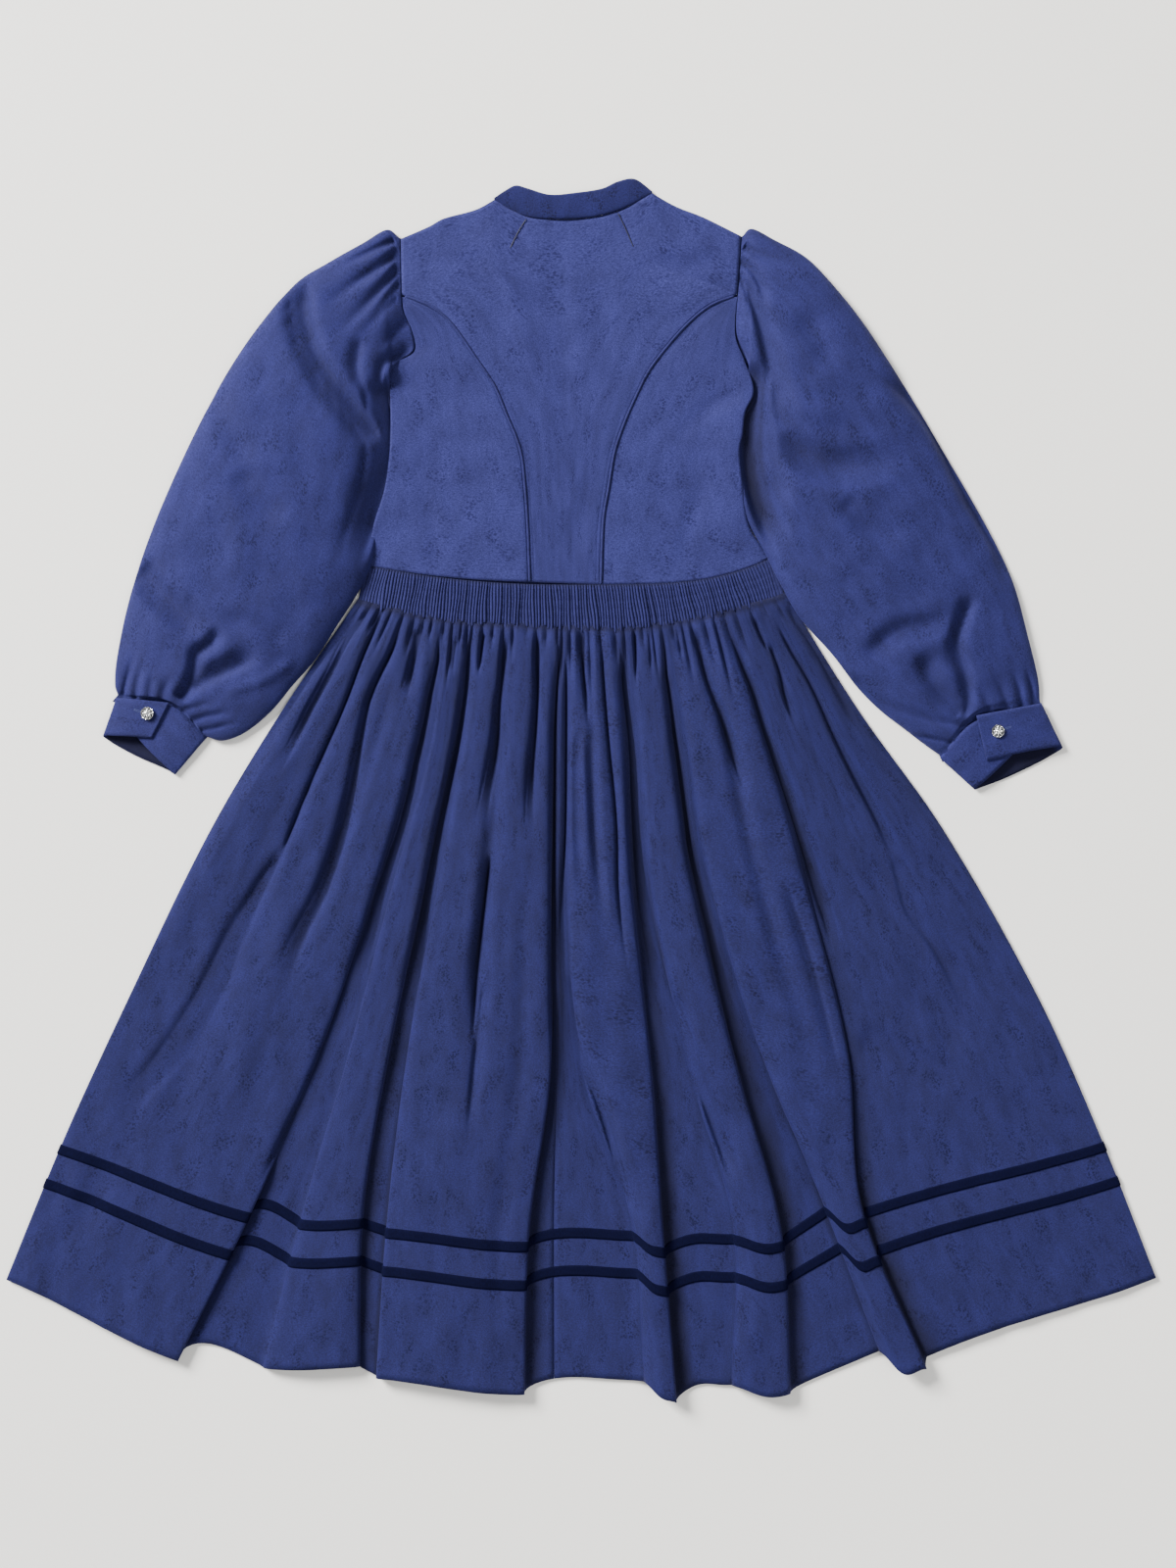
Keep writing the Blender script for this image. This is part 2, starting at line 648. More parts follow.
backCreases = [
    # neck darts, then soft drags from underarm, shoulder and waist
    crease([(-45, 393), (-54, 378), (-63, 361)], 1.7, 1.5, start=0.02, end=0.4),
    crease([(52, 399), (60, 382), (68, 363)], 1.7, 1.5, start=0.02, end=0.4),
    crease([(-186, 225), (-150, 205), (-110, 170)], 1.2, 16),
    crease([(-190, 150), (-150, 120), (-100, 60)], 1.0, 18),
    crease([(186, 205), (150, 190), (110, 150)], 1.2, 16),
    crease([(-160, 352), (-120, 345), (-70, 350)], 1.0, 16),
    crease([(165, 352), (120, 340), (70, 352)], 1.0, 16),
    crease([(-20, 380), (-6, 250), (-12, 120)], 0.8, 22),
    crease([(30, 120), (8, 60), (12, 8)], 0.8, 16),
    crease([(-140, 20), (-150, 80), (-170, 120)], 0.9, 14),
    crease([(120, 16), (130, 70), (150, 120)], 0.9, 14),
]


def backHeight(plan, seed, seams=()):
    # middle of the back cloth, sinking into its seams
    z = backLevel(plan[..., 0], plan[..., 1]) + 0.6
    z = z + 0.35 * rippled(plan, 60, seed) - creased(plan, backCreases)
    for seam in seams:
        # the seam itself, then a row of stitches on each side of it
        for away, depth, width in ((0, 0.9, 2.6), (-5.2, 0.35, 0.9), (5.2, 0.35, 0.9)):
            path = beside(seam, away)(np.linspace(0, 1, 12))
            z = z - creased(plan, [crease(path, depth, width, start=0.01, end=0.02)])
    return z


def seamThenArmhole(seam, top):
    def at(v):
        v = np.atleast_1d(v) * 16 / 14
        low = seam(np.minimum(v, 1))
        high = low + (np.array(top) - seam(1)[0]) * np.clip((v - 1) * 7, 0, 1)[:, None]
        return high

    return at


channel = 0.5
centreLeft = seamThenArmhole(beside(princessLeft, channel), armholeLeft[-1])
centreRight = seamThenArmhole(beside(princessRight, -channel), armholeRight[-1])


def backHead(u):
    u = np.atleast_1d(u)
    return np.where(
        (u < 0.25)[:, None], shoulderLeft(4 * u),
        np.where((u > 0.75)[:, None], shoulderRight(4 * u - 3), neckLine(2 * u - 0.5)),
    )


def placed(plan, z):
    return np.concatenate([plan, z[..., None]], -1)


centre = panelPlan(
    waistBetween(centreLeft(0)[0][0], centreRight(0)[0][0]), backHead, centreLeft, centreRight,
    many(104), many(128), 2,
)
centreGrid = placed(centre, backHeight(centre, 3, (princessLeft, princessRight)))
clothMesh(
    "back_centre", centreGrid, bodice["wall"], clothMaterial, cutAlong(centreGrid), up=False
)


def sideBack(name, side, armhole, seam, sign, lift, seed):
    top = [i for i, point in enumerate(armhole) if point[1] == 310][0]
    inner = beside(seam, sign * channel)
    edge = [(x - sign * 0.6, y) for x, y in side] + armhole[1:top]
    edge.append((armhole[top][0], inner(0.985)[0][1]))
    outer = smoothLine(edge)

    def innerShort(v):
        return inner(np.minimum(v, 0.985))

    left, right = (outer, innerShort) if sign < 0 else (innerShort, outer)
    plan = panelPlan(
        waistBetween(left(0)[0][0], right(0)[0][0]), straight(left(1), right(1)), left, right,
        many(54), many(110),
    )
    z = backHeight(plan, seed, (seam,))
    # the side edge lies on the sleeve and stands up a little
    u, v = np.linspace(0, 1, plan.shape[1])[None, :], np.linspace(0, 1, plan.shape[0])[:, None]
    outwards = ease(0.62, 0.97, 1 - u if sign < 0 else u)
    z = z + lift * outwards * ease(0.02, 0.2, v) * (1 - ease(0.6, 0.8, v))
    grid = placed(plan, z)
    clothMesh(name, grid, bodice["wall"], clothMaterial, cutAlong(grid) + 400, up=False)


for name, path in (
    ("dart_left", [(-45.5, 391.5), (-54, 378), (-63, 360)]),
    ("dart_right", [(52.5, 397.5), (60, 382), (69, 361)]),
):
    plan = smoothLine(path)(np.linspace(0, 1, 40))
    z = backLevel(plan[:, 0], plan[:, 1]) + 1.35 - 0.4 * np.linspace(0, 1, 40)
    tube(name, placed(plan, z), 0.5, threadSeam, sides=6)
sideBack("back_side_left", sideLeft, armholeLeft, princessLeft, -1, 1.6, 5)
sideBack("back_side_right", sideRight, armholeRight, princessRight, 1, 3.6, 8)

piping = {"radius": 1.45, "rise": 1.25, "sink": 0.9, "rings": 260}
for name, seam in (("piping_left", princessLeft), ("piping_right", princessRight)):
    plan = seam(np.linspace(0, 0.99, many(piping["rings"])))
    z = backLevel(plan[:, 0], plan[:, 1]) + piping["rise"]
    z = z - piping["sink"] * ease(0.93, 1, np.linspace(0, 1, len(plan)))
    tube(name + "_cord", placed(plan, z), piping["radius"], gaugingMaterial, node=name, twist=0.05)
print("back bodice and piping")

# ---- front bodice below
frontInset = 0.98
hidden = {"level": 0.6, "wall": 1.0}  # the plain layer on the floor


def plainSheet(node, plan, material, shift=0, up=False):
    grid = placed(plan, np.full(plan.shape[:2], hidden["level"]))
    clothMesh(node, grid, hidden["wall"], material, cutAlong(grid) + shift, up=up)


def frontHalf(name, side, armhole, shoulder, sign, shift):
    middle = 4 + sign * 0.15
    neckEnd = frontNeck(0 if sign < 0 else 1)[0]
    shoulderLine = smoothLine([*[(x * frontInset, y - 3) for x, y in shoulder[:-1]], neckEnd])
    edge = [(x * frontInset, y) for x, y in side + armhole[1:-1]] + [tuple(shoulderLine(0)[0])]
    outer = smoothLine(edge)
    low = float(waistY(middle)) + 0.15
    mid = frontNeck(0.5)[0][1]
    inner = straight((middle, low), (middle, mid))

    def foot(u):
        x = mix(outer(0)[0][0], middle, np.atleast_1d(u))
        return np.stack([x, waistY(x) + 0.15], -1)

    def head(u):
        u = np.atleast_1d(u)
        share = (u - 0.5) if sign < 0 else 1.5 - u
        neck = frontNeck(share)
        neck[u > 0.999] = (middle, mid)
        return np.where((u < 0.5)[:, None], shoulderLine(2 * u), neck)

    if sign < 0:
        plan = panelPlan(foot, head, outer, inner, 30, 40, 2)
    else:
        plan = panelPlan(lambda u: foot(1 - u), lambda u: head(1 - u), inner, outer, 30, 40, 2)
    plainSheet(name, plan, clothMaterial, shift)


frontHalf("front_left", sideLeft, armholeLeft, shoulderPointsLeft, -1, 900)
frontHalf("front_right", sideRight, armholeRight, shoulderPointsRight[::-1], 1, 1300)

# ---- stand collar
collar = {"crown": 3.4, "half": 90, "wall": 1.3, "rollHeight": 0.9, "frontHeight": 24}


def collarPlan(foot, head, cols, rows):
    left, right = straight(foot(0), head(0)), straight(foot(1), head(1))
    return panelPlan(foot, head, left, right, cols, rows)


def raised(path, rise):
    return lambda u: path(u) + (0, rise)


plan = collarPlan(raised(neckLine, 0.1), collarTop, many(110), many(16))
v = np.linspace(0, 1, plan.shape[0])[:, None]
rise = 1 - (np.abs(plan[..., 0] - 4) / collar["half"]) ** 2
z = bodice["level"] + collar["crown"] * rise + 0.5
z = z + collar["rollHeight"] * np.sin(np.pi * v) ** 0.6 - 0.7 * (1 - ease(0, 0.12, v))
grid = placed(plan, z + 0.2 * rippled(plan, 30, 4))
clothMesh("collar_back", grid, collar["wall"], skirtMaterial, cutAlong(grid) + 1700, up=False)


def frontCollarHead(u):
    u = np.atleast_1d(u)
    rise = 2 + (collar["frontHeight"] - 2) * np.sin(np.pi * u) ** 0.5
    return frontNeck(u) + np.stack([0 * u, rise], -1)


plan = collarPlan(raised(frontNeck, 0.6), frontCollarHead, 60, 8)
plainSheet("collar_front", plan, clothMaterial, 2100)
print("front bodice and collar")

# ---- waist gauging
gauging = {"ribs": 140, "rise": 2.6, "halfTop": 216, "leftFoot": -226, "rightFoot": 231, "wall": 0.6}
gaugingFoot = np.array([
    (-226, -17), (-203, -23), (-181, -27), (-162, -32), (-134, -36), (-101, -40), (-66, -41),
    (-21, -44), (41, -45), (54, -46), (94, -42), (116, -39), (138, -34), (161, -29), (184, -24),
    (218, -15), (231, -10),
], float)


def gaugingFootY(x):
    return np.interp(x, gaugingFoot[:, 0], gaugingFoot[:, 1])


def gaugingPlan(u, v, inset=1.0):
    top = mix(-gauging["halfTop"], gauging["halfTop"], u) * inset
    low = mix(gauging["leftFoot"], gauging["rightFoot"], u) * inset
    return np.stack([mix(top, low, v), mix(waistY(top) + 0.5, gaugingFootY(low) + 0.1, v)], -1)


ribU = np.linspace(0, 1, gauging["ribs"] * 8 + 1)[None, :]
ribV = np.linspace(0, 1, many(22))[:, None]
phase = ribU * gauging["ribs"]
bend = 0.1 * np.sin(phase * 0.9 + 4 * ribV) + 0.12 * np.sin(phase * 0.37 + 3 + 5 * ribV)
which = np.floor(phase + bend)
place = phase + bend - which
crest = np.sin(np.pi * place) ** 0.7
tall = 1 + 0.35 * uneven(which) + 0.25 * uneven(which + 31) * ribV
pinch = (0.45 + 0.55 * ease(0, 0.12, ribV)) * (1 - 0.25 * ease(0.88, 1, ribV))
plan = gaugingPlan(np.broadcast_to(ribU, place.shape), np.broadcast_to(ribV, place.shape))
# each pleat ends in its own small tongue over the head of the skirt
plan[..., 1] -= ease(0.75, 1, ribV) * crest * (3.4 + 3.2 * uneven(which + 9))
atEnds = np.minimum(1, 8 * np.minimum(ribU, 1 - ribU) + 0.3)
z = backLevel(plan[..., 0], 0) + 0.25 + gauging["rise"] * crest * tall * pinch * atEnds
for row in (0.16, 0.38, 0.6, 0.82):  # rows of gathering thread draw the pleats in
    z = z - 0.35 * bump(ribV, row + 0.01 * np.sin(phase * 0.13), 0.05)
grid = placed(plan, z)
between = (1 - crest) ** 1.5 * mix(0.9, 0.6, ribV)
underSeam = 0.9 * (1 - ease(0.02, 0.07, ribV))
clothMesh(
    "gauging_back", grid, gauging["wall"], gaugingMaterial, laidOut(ribU * 1700, 40 * ribV),
    hollow=np.maximum(between, underSeam),
)
u, v = np.linspace(0, 1, 61)[None, :], np.linspace(0, 1, 7)[:, None]
plan = gaugingPlan(u + 0 * v, v + 0 * u, frontInset)
plainSheet("gauging_front", plan, gaugingMaterial, up=True)
print("gauging")

# ---- skirt back: turned edges of the big folds, x at six levels down the cloth and y at the hem
skirt = {
    "levels": [0, 0.174, 0.343, 0.586, 0.789, 1],
    "valley": 2.3,
    "floor": 2.1,  # the lowest its middle may lie, on the skirt front
    "length": 820,
    "flare": 390,  # how much half the skirt widens from waist to hem
    "edgeShare": 0.62,
    "rows": 140,
    "ridgeStart": 4.4,
    "ridgeRise": 6.4,
    "round": 0.42,  # how soft the turned edges are, in columns of the set-out
    "wall": 1.0,
}
foldEdges = [
    (-226, -312, -385, -471, -539, -602, -744),
    (-140, -162, -201, -264, -332, -415, -817),
    (-130, -148, -185, -237, -285, -328, -836),
    (-107, -125, -152, -192, -218, -222, -836),
    (-101, -117, -139, -176, -196, -208, -848),
    (-14, -17, -19, -18, -40, -45, -857),
    (-3, -3, -2, 14, 67, 81, -852),
    (51, 61, 68, 90, 102, 116, -874),
    (64, 75, 87, 128, 175, 174, -856),
    (94, 113, 133, 183, 229, 239, -862),
    (105, 127, 148, 203, 268, 331, -819),
    (170, 212, 249, 299, 314, 383, -838),
    (231, 311, 399, 500, 567, 628, -742),
]
stretches = [
    # columns, rise at hip, knee, band and hem, overhang left and right, lean, hem dip and its place
    (22, 4, 8, 10, 11, 0, 9, 0.8, -14, 0.9),
    (3, 0, 0, 0, 0, 0, 0, 0, 14, 0.4),
    (8, 4, 10, 12, 12, 3, 4, 0.2, -3, 0.3),
    (3, 0, 0, 0, 0, 0, 0, 0, 0, 0.5),
    (20, 6, 12, 14, 14, 5, 8, 0, -9, 0.84),
    (4, 0, 0, 0, 0, 0, 0, 0, 7, 0.4),
    (12, 5, 12, 14, 15, 0, 4, 0.3, -5, 0.5),
    (4, 0, 0, 0, 0, 0, 0, 0, 11, 0.4),
    (8, 6, 12, 13, 13, 2, 6, 0.1, -8, 0.6),
    (3, 0, 0, 0, 0, 0, 0, 0, 0, 0.5),
    (15, 5, 11, 14, 15, 4, 4, 0.2, -14, 0.5),
    (14, 2, 4, 4, 4, 0, 0, -0.6, 13, 0.13),
]
troughs = [
    # stretch, place across, its drift down the cloth, depth, half width, from, to
    (0, 0.3, 0.16, 6, 0.12, 0.1, 0.78),
    (0, 0.72, 0.02, 3.5, 0.08, 0.06, 0.5),
    (4, 0.42, 0, 6, 0.12, 0.06, 0.62),
    (4, 0.75, 0.04, 2.5, 0.1, 0.3, 0.95),
    (6, 0.45, 0, 4, 0.14, 0.06, 0.45),
    (10, 0.5, 0.1, 4, 0.14, 0.08, 0.6),
    (11, 0.35, 0.25, 3, 0.1, 0.08, 0.75),
]
skirtCreases = [
    # from left to right: the slots between the crests below the gauging, then the long valleys
    crease([(-229, -33), (-252, -61), (-275, -92), (-298, -129), (-320, -166)], 5, 5, 7),
    crease([(-216, -26), (-231, -50), (-252, -92), (-273, -131), (-294, -173), (-310, -203)], 8,
           3.5, 12),
    crease([(-193, -16), (-218, -71), (-242, -134), (-268, -192), (-294, -255), (-310, -297)], 9,
           3, 3, end=0.15),
    crease([(-176, -45), (-197, -87), (-213, -124), (-220, -161), (-228, -208), (-239, -266),
           (-257, -323), (-284, -381), (-304, -434)], 9, 3.5, [3, 28], end=0.3),
    crease([(-161, -45), (-165, -71), (-169, -98), (-174, -124)], 7, 3.5, [4, 14]),
    crease([(-139, -45), (-141, -82), (-147, -108), (-156, -155), (-164, -187), (-170, -218),
           (-181, -260), (-192, -292), (-206, -334), (-219, -381), (-242, -434)], 11, [3, 16],
           [2.5, 4], end=0.1),
    crease([(-119, -56), (-123, -77), (-124, -98)], 5, 3, 5),
    crease([(-107, -45), (-108, -98), (-112, -134), (-119, -176), (-128, -218), (-138, -266),
           (-144, -302), (-151, -344), (-160, -397), (-170, -439)], 11, 3, [4, 14], end=0.1),
    crease([(-90, -50), (-93, -71), (-97, -98)], 5, 3, 3),
    crease([(-65, -50), (-69, -87), (-74, -124), (-77, -166), (-84, -213), (-92, -266)], 9, [3, 6],
           [4, 18]),
    crease([(-33, -50), (-33, -108), (-35, -155), (-38, -197), (-39, -239), (-36, -276)], 10, 3,
           [3, 16]),
    crease([(-7, -50), (-12, -98), (-15, -150), (-16, -213), (-17, -287), (-18, -360), (-19, -434),
           (-19, -507)], 9, 2.6, 2.6, end=0.2),
    crease([(-3, -61), (-3, -171), (-4, -266), (-7, -323), (-8, -381), (-6, -423), (-3, -465)], 9,
           2.8, 2.6, end=0.15),
    crease([(10, -150), (8, -213), (10, -276), (15, -339)], 2.5, 10, 10),
    crease([(16, -47), (15, -87), (18, -119), (21, -155)], 9, 3.5, 3.5, end=0.5),
    crease([(21, -155), (24, -213), (28, -266), (34, -318), (40, -371)], 3, 9, 9),
    crease([(34, -47), (36, -87), (39, -129), (43, -176), (48, -224), (51, -266), (52, -323),
           (57, -371), (63, -413)], 7, 3, 2.6, end=0.3),
    crease([(56, -50), (58, -98), (63, -140), (67, -176), (69, -218), (71, -266), (76, -318),
           (86, -376), (100, -434), (121, -497), (142, -570)], 12, [4, 16], [3, 12], end=0.1),
    crease([(70, -50), (71, -77), (72, -108)], 6, 2.6, 2.6),
    crease([(85, -47), (87, -71), (88, -98)], 4, 3, 3),
    crease([(100, -51), (104, -98), (108, -124), (113, -166), (119, -208), (124, -250),
           (130, -292), (138, -323), (147, -360), (164, -430), (189, -514), (215, -554)], 11,
           [3, 8], [2.6, 4], end=0.12),
    crease([(116, -45), (118, -61), (121, -82)], 4, 3, 3),
    crease([(135, -45), (140, -75), (147, -103), (161, -140), (176, -187), (193, -229)], 9,
           [4, 18], 3.5),
    crease([(172, -45), (182, -82), (193, -108), (205, -148), (217, -184), (231, -224),
           (247, -276), (265, -334), (284, -397)], 9, [6, 22], [2.6, 3.5], end=0.2),
    crease([(197, -37), (205, -56), (215, -75)], 5, 3, 3),
    crease([(213, -61), (224, -92), (231, -124), (244, -155)], 8, [4, 12], 3),
    crease([(220, -37), (231, -61), (258, -108), (279, -155), (295, -189), (312, -222),
           (328, -253), (344, -285), (368, -313)], 8, [3, 18], 2.6),
    crease([(231, -22), (258, -56), (279, -92), (296, -131), (310, -166)], 5, 6, 8),
    crease([(-84, -285), (-88, -318), (-94, -365), (-99, -407), (-102, -465), (-103, -514)], 8,
           [3, 8], 3, start=0.1),
    crease([(-294, -266), (-326, -321), (-356, -380), (-378, -430), (-413, -492), (-474, -571)],
           12, [4, 10], [8, 34], start=0.2),
    crease([(-160, -397), (-172, -440), (-182, -514), (-195, -628)], 8, 8, 4, start=0.05, end=0.1),
    crease([(-6, -417), (4, -487), (32, -558), (65, -672)], 8, 12, 4, start=0.05, end=0.15),
    crease([(231, -318), (258, -397), (277, -471), (290, -528)], 4, 4, 12),
    crease([(189, -471), (227, -568), (277, -677)], 5, 4, 8, start=0.2, end=0.1),
    crease([(344, -285), (352, -318), (362, -350), (388, -386), (415, -434), (430, -476)], 4, 24,
           4, start=0.1),
    crease([(307, -483), (372, -514), (437, -542)], 3.5, 26, 20),
    crease([(330, -560), (390, -610), (470, -639)], 1.6, 26, 24),
    crease([(440, -520), (500, -590), (560, -660)], 1.8, 26, 26),
    crease([(-300, -330), (-330, -450), (-390, -600)], -2, 26, 26),
    crease([(-232, -420), (-252, -470), (-286, -549), (-330, -640)], 6, 20, 4, start=0.05,
           end=0.2),
    crease([(-90, -420), (-98, -480), (-104, -540), (-108, -600)], 5, 12, 4, start=0.1),
    crease([(105, -440), (126, -500), (150, -570), (176, -640)], 8, 18, 5, start=0.05, end=0.2),
    crease([(205, -540), (232, -590), (262, -650)], 7, 14, 4, start=0.1, end=0.2),
    crease([(-480, -600), (-520, -670), (-560, -730)], 2, 26, 26),
]


def edgeX(k, v):
    return throughLevels(skirt["levels"], foldEdges[k][:6], v)


def skirtCloth(vs):
    xs, ys, zs, columns = [], [], [], []
    V = vs[:, None]
    opened, over = ease(0.08, 0.42, V), ease(0.25, 0.8, V)
    begin = 0
    for k, (n, hip, knee, band, hem, overL, overR, lean, dip, dipAt) in enumerate(stretches):
        finer = 8 if k == 11 else 5
        c = np.linspace(0, n, n * max(2, many(finer)) + 1)[None, :]
        if k:
            c = c[:, 1:]
        raised = hip > 0
        x0, x1 = edgeX(k, vs)[:, None], edgeX(k + 1, vs)[:, None]
        inL = (overL if raised else -(stretches[k - 1][6] if k else 0)) * over
        inR = (overR if raised else -(stretches[k + 1][5] if k < 11 else 0)) * over
        rise = np.interp(vs, [0, 0.174, 0.586, 0.789, 1], [0, hip, knee, band, hem])[:, None]
        even = c / n
        if k == 5:
            even = even + 0.04 * opened * np.maximum(0, 1 - np.abs(c - 1))
        t = np.clip((c - 1) / (n - 2), 0, 1)
        if raised:
            place = mix(np.clip(c, 1, n - 1) / n, t, opened)
            w = np.maximum(np.clip(1 - c, 0, 1), np.clip(c - (n - 1), 0, 1))
            turnX = np.where(c < n / 2, x0 + inL, x1 - inR)
            x = mix(mix(x0, x1, place), turnX, w)
            place = mix(place, np.round(even), w)
            dome = skirt["edgeShare"] + (1 - skirt["edgeShare"]) * np.sin(np.pi * t) ** 0.6
            tilt = mix(1 - lean, 1, t) if lean >= 0 else mix(1, 1 + lean, t)
            z = rise * dome * tilt * (1 - w)
            sunk = 0
            for stretch, at, drift, depth, half, start, end in troughs:
                if stretch == k:
                    reach = ease(start, start + 0.12, V) * (1 - ease(end - 0.2, end, V))
                    sunk = sunk + depth * reach * bump(t, at + drift * V, half)
            z = z - np.minimum(z, sunk)
        else:
            place = even + 0 * V
            x = mix(x0 + inL, x1 - inR, place)
            z = 0 * x
        topX = mix(foldEdges[k][0], foldEdges[k + 1][0], even)
        hemY = mix(foldEdges[k][6], foldEdges[k + 1][6], place)
        hemY = hemY + dip * bump(place, dipAt, max(dipAt, 1 - dipAt))
        xs.append(x)
        ys.append(mix(gaugingFootY(topX) + 1.5, hemY, V))
        zs.append(z)
        columns.append(begin + c[0])
        begin += n
    grid = np.stack([np.concatenate(part, 1) for part in (xs, ys, zs)], -1)
    column = np.concatenate(columns)
    perColumn = (len(column) - 1) / begin
    grid = softened(grid, skirt["round"] * perColumn)
    # small crests that rise off the gauging, parted by short clefts of many lengths
    reach = V * skirt["flare"] + bodice["halfBack"]
    side = np.clip(1 - np.abs(grid[..., 0]) / reach, 0, 1) ** 0.25
    stand = bodice["crown"] * side * (1 - ease(0.03, 0.42, V))
    S = column[None, :]
    ends = ease(0, 3, S) * ease(0, 3, begin - S)
    crests = mix(skirt["ridgeStart"], skirt["ridgeRise"], ease(0, 0.09, V))
    crests = crests * (1 - ease(0.28, 0.62, V)) * mix(0.2, 1, ease(0, 0.016, V))
    cleft = np.zeros((len(vs), len(column)))
    number = 0
    at = 1.6
    while at < begin - 1:
        reach = 0.055 + 0.035 * uneven(number + 3) + (0.05 if number % 3 == 0 else 0)
        fade = 1 - ease(0.35 * reach, reach, V)
        wide = 1.15 + 0.35 * uneven(number + 40)
        wander = at + 0.5 * uneven(number + 77) * ease(0, 0.2, V)
        form = np.clip(1 - np.abs(S - wander) / wide, 0, 1) ** 1.25
        cleft = np.maximum(cleft, form * fade)
        at += 2.75 + 0.85 * uneven(number)
        number += 1
    grid[..., 2] += skirt["valley"] + stand + ends * crests * (1 - cleft)
    sunk = creased(grid[..., :2], skirtCreases)
    waves = rippled(grid[..., :2] * (1, 0.45), 42, 21) * 0.6 + rippled(grid[..., :2], 130, 22) * 0.7
    grid[..., 2] += waves * ease(0.1, 0.4, V) * ends
    raisedBy = grid[..., 2] - skirt["floor"]
    grid[..., 2] = skirt["floor"] + np.maximum(raisedBy - sunk, 0.12 * raisedBy)
    grid[..., 2] = np.maximum(grid[..., 2], skirt["floor"])
    return grid, column


skirtRows = many(skirt["rows"])
evenly = np.linspace(0, 1, skirtRows)
skirtV = 0.72 * evenly + 0.28 * evenly**2  # closer rows at the waist
skirtGrid, skirtColumn = skirtCloth(skirtV)
seamAt = int(np.argmin(np.abs(skirtColumn - 57)))
hemRow = skirtGrid[int(skirtRows * 0.9)]
along = np.r_[0, np.cumsum(np.linalg.norm(np.diff(hemRow, axis=0), axis=1))]
flatCut = laidOut(along[None, :], skirt["length"] * skirtV[:, None])
seamDip = 1.4 * np.exp(-(((np.arange(skirtGrid.shape[1]) - seamAt) / 1.6) ** 2))
skirtGrid[..., 2] -= seamDip[None, :] * np.clip((skirtGrid[..., 2] - skirt["floor"]) / 1.4, 0, 1)
skirtHollow = hollows(skirtGrid, start=1.4, full=10)
skirtHollow = np.maximum(skirtHollow, 0.8 * (1 - ease(0.002, 0.014, skirtV))[:, None])
leftHalf, rightHalf = skirtGrid[:, : seamAt + 1].copy(), skirtGrid[:, seamAt:].copy()
leftHalf[:, -1, 0] -= 0.1
rightHalf[:, 0, 0] += 0.1
clothMesh(
    "skirt_back_left", leftHalf, skirt["wall"], skirtMaterial, flatCut[:, : seamAt + 1],
    hollow=skirtHollow[:, : seamAt + 1],
)
clothMesh(
    "skirt_back_right", rightHalf, skirt["wall"], skirtMaterial, flatCut[:, seamAt:] + 40,
    hollow=skirtHollow[:, seamAt:],
)
print("skirt back", leftHalf.shape, rightHalf.shape)

frontHem = np.array([
    (-596, -740), (-510, -769), (-403, -798), (-252, -818), (-100, -836), (50, -843), (150, -844),
    (250, -832), (328, -810), (404, -796), (484, -780), (543, -763), (622, -738),
], float)
v = np.linspace(0, 1, 41)
u = np.linspace(0, 1, 81)[None, :]
left = (edgeX(0, v) + 3 + 2 * v)[:, None]
right = (edgeX(12, v) - 3 - 2 * v)[:, None]
x = mix(left, right, u)
hem = np.interp(x[-1:], frontHem[:, 0], frontHem[:, 1])
y = mix(gaugingFootY(x[:1] * frontInset) - 0.15, hem, v[:, None])
plainSheet("skirt_front", np.stack([x, y], -1), skirtMaterial, 5000, up=True)

# ---- velvet ribbons on the skirt
ribbon = {
    "width": 11,
    "wall": 0.9,
    "rows": [0.808, 0.858],  # shares of the skirt's length
    "skirtLength": 812,
    "lift": 1.05,
    "edgeSink": 0.35,
    "across": 7,  # points over its width
}
upper = lifted(skirtGrid, ribbon["lift"])
for n, name in enumerate(("ribbon_upper", "ribbon_lower")):
    half = ribbon["width"] / 2 / ribbon["skirtLength"]
    wanted = ribbon["rows"][n] + np.linspace(-half, half, ribbon["across"])
    strip = np.stack([
        np.stack([np.interp(wanted, skirtV, column) for column in upper[..., k].T], -1)
        for k in range(3)
    ], -1)
    strip[[0, -1], :, 2] -= ribbon["edgeSink"]
    down = np.linspace(0, ribbon["width"], ribbon["across"])
    clothMesh(
        name, strip, ribbon["wall"], velvet, laidOut(along[None, :], down[:, None]),
        kind="velvet",
    )
print("skirt front and ribbons")

# ---- sleeves: outer point, inner point and height of each section from armhole to wrist
sleeveLeft = [
    (-181, 371, -195.5, 231, 5), (-195, 380, -196.5, 205, 13), (-220, 366, -195.5, 175, 19),
    (-257, 345, -194, 144, 22), (-294, 321, -199.5, 102, 25), (-334, 274, -211.5, 60, 26),
    (-365, 228, -219, 18, 26), (-393, 177, -237, -16, 25), (-418, 125, -259, -50, 23),
    (-441, 72, -278, -84, 21), (-460, 20, -299, -112, 19), (-474, -29, -319, -136, 17),
    (-484, -79, -346, -158, 15), (-486, -106, -370, -167, 13), (-483, -118, -387, -163, 11),
]
sleeveRight = [
    (185.3, 373, 199.5, 212, 5), (196, 381, 197.2, 194, 13), (220, 369, 188.5, 170, 19),
    (254, 350, 184.5, 142, 22), (284, 319, 187.2, 109, 25), (315, 280, 194.5, 72, 26),
    (346, 233, 214, 36, 26), (374, 188, 233.5, -3, 25), (401, 142, 252, -35, 23),
    (428, 96, 281, -71, 21), (454, 49, 305, -106, 19), (476, 1, 331, -133, 17),
    (491, -54, 358, -154, 15), (502, -100, 383, -173, 13), (504, -125, 396, -182, 11),
]
